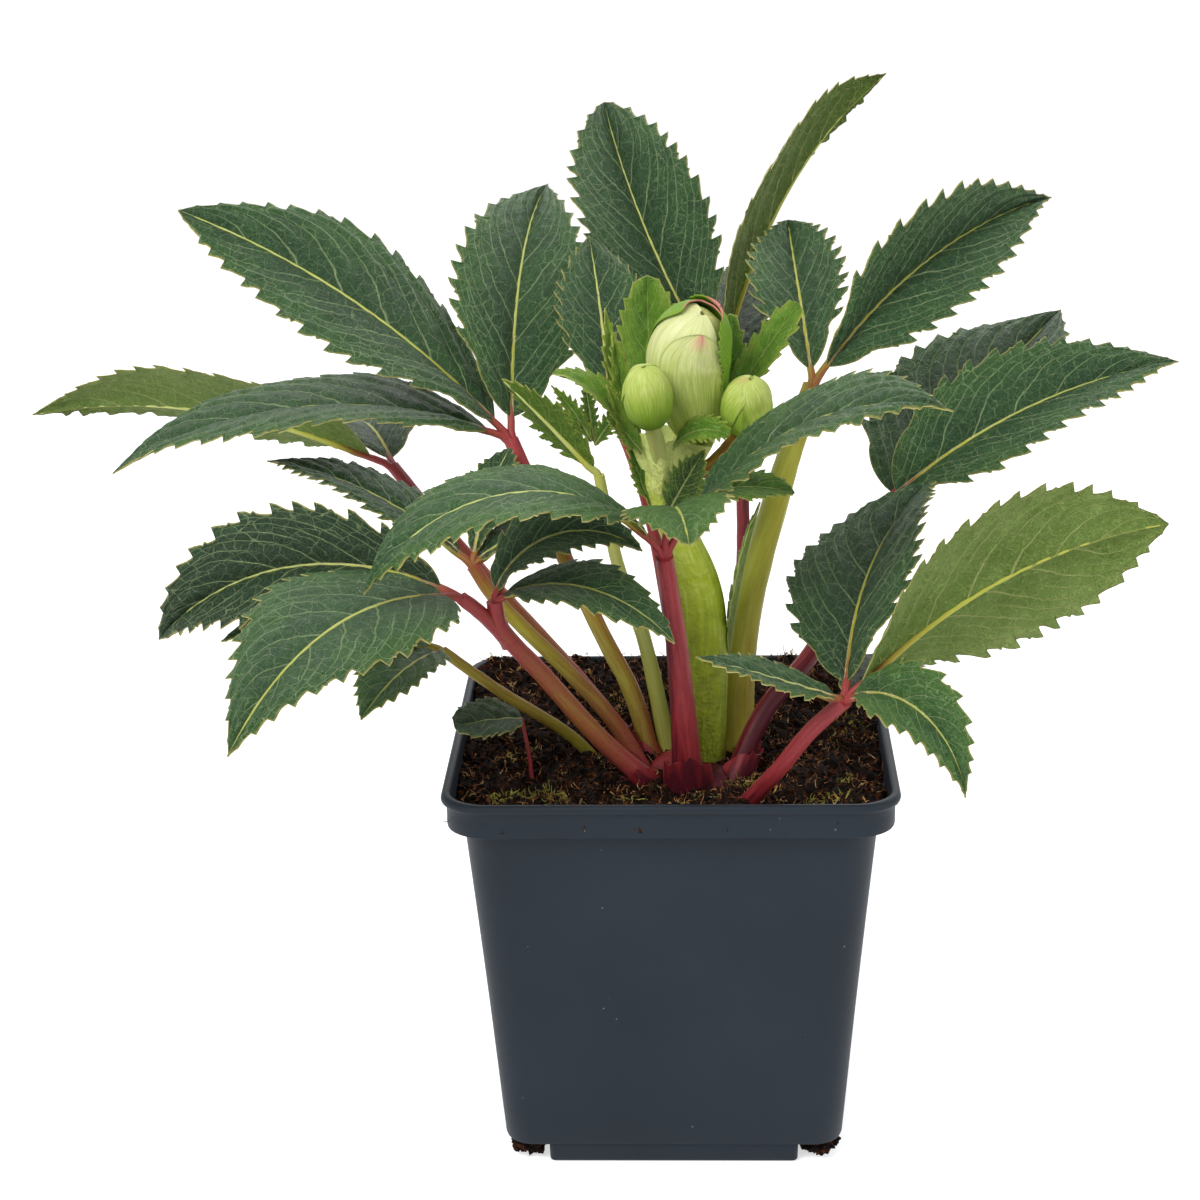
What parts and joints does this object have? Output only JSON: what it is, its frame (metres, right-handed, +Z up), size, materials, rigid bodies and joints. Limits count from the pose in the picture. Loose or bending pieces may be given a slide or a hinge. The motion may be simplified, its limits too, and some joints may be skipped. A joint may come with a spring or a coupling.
{
  "type": "potted hellebore",
  "caption": "Evergreen hellebore in bud: long-stalked toothed leathery leaves and cream-green flower buds on a thick stem, growing in compost in a square plastic nursery pot.",
  "frame": {"origin": "middle of the pot's base, on the surface that it stands on", "axes": "+Z up; -Y is the pot's front, the side that the lowest right leaf leans over; +X is to the right seen from the front"},
  "size_m": [0.3634, 0.287, 0.2986],
  "materials": {
    "pot": "satin moulded slate-grey plastic, faintly dusty",
    "compost": "dark crumbly peat and bark compost with fibres and moss",
    "crown": "dull maroon plant tissue",
    "stalk": "smooth fleshy maroon stalk, olive brown low down",
    "flower_stem": "smooth fleshy pale green stem",
    "leaf": "leathery dark green leaf with pale veins, olive below",
    "bract": "thin bright green leafy bract",
    "bud": "waxy cream-green bud with pink touches"
  },
  "bodies": {
    "root": {"pot": "pot", "compost": "compost", "crown": "crown", "flower_stem": "flower_stem", "main_bud": "bud", "left_bud": "bud", "right_bud": "bud", "upper_left_bract": "bract", "finger_bract": "bract", "left_bract": "bract", "right_bract": "bract", "right_inner_bract": "bract", "front_bract": "bract", "dark_bract": "bract", "low_right_bract": "bract", "sheath_bract": "bract", "seedling_leaf": "leaf", "tall_left_stalk": "stalk", "tall_left_leaflet_1": "leaf", "tall_left_leaflet_2": "leaf", "tall_left_leaflet_3": "leaf", "far_left_stalk": "stalk", "far_left_leaflet_1": "leaf", "far_left_leaflet_2": "leaf", "low_left_stalk": "stalk", "low_left_leaflet_1": "leaf", "low_left_leaflet_2": "leaf", "low_left_fork_leaflet_1": "leaf", "low_left_fork_leaflet_2": "leaf", "mid_left_stalk": "stalk", "mid_left_leaflet_1": "leaf", "mid_left_leaflet_2": "leaf", "mid_left_leaflet_3": "leaf", "front_stalk": "stalk", "front_leaflet_1": "leaf", "front_leaflet_2": "leaf", "front_leaflet_3": "leaf", "upper_right_stalk": "stalk", "upper_right_leaflet_1": "leaf", "upper_right_leaflet_2": "leaf", "right_stalk": "stalk", "right_leaflet_1": "leaf", "right_leaflet_2": "leaf", "low_right_stalk": "stalk", "low_right_leaflet_1": "leaf", "low_right_leaflet_2": "leaf", "low_right_leaflet_3": "leaf", "low_right_leaflet_4": "leaf", "low_right_leaflet_5": "leaf", "low_back_left_stalk": "stalk", "low_back_left_leaflet_1": "leaf", "low_back_left_leaflet_2": "leaf", "back_stalk": "stalk", "back_leaflet_1": "leaf", "back_leaflet_2": "leaf", "back_leaflet_3": "leaf", "rear_left_stalk": "stalk", "rear_left_leaflet_1": "leaf", "young_stalk": "stalk", "young_leaflet_1": "leaf"}
  },
  "joints": []
}
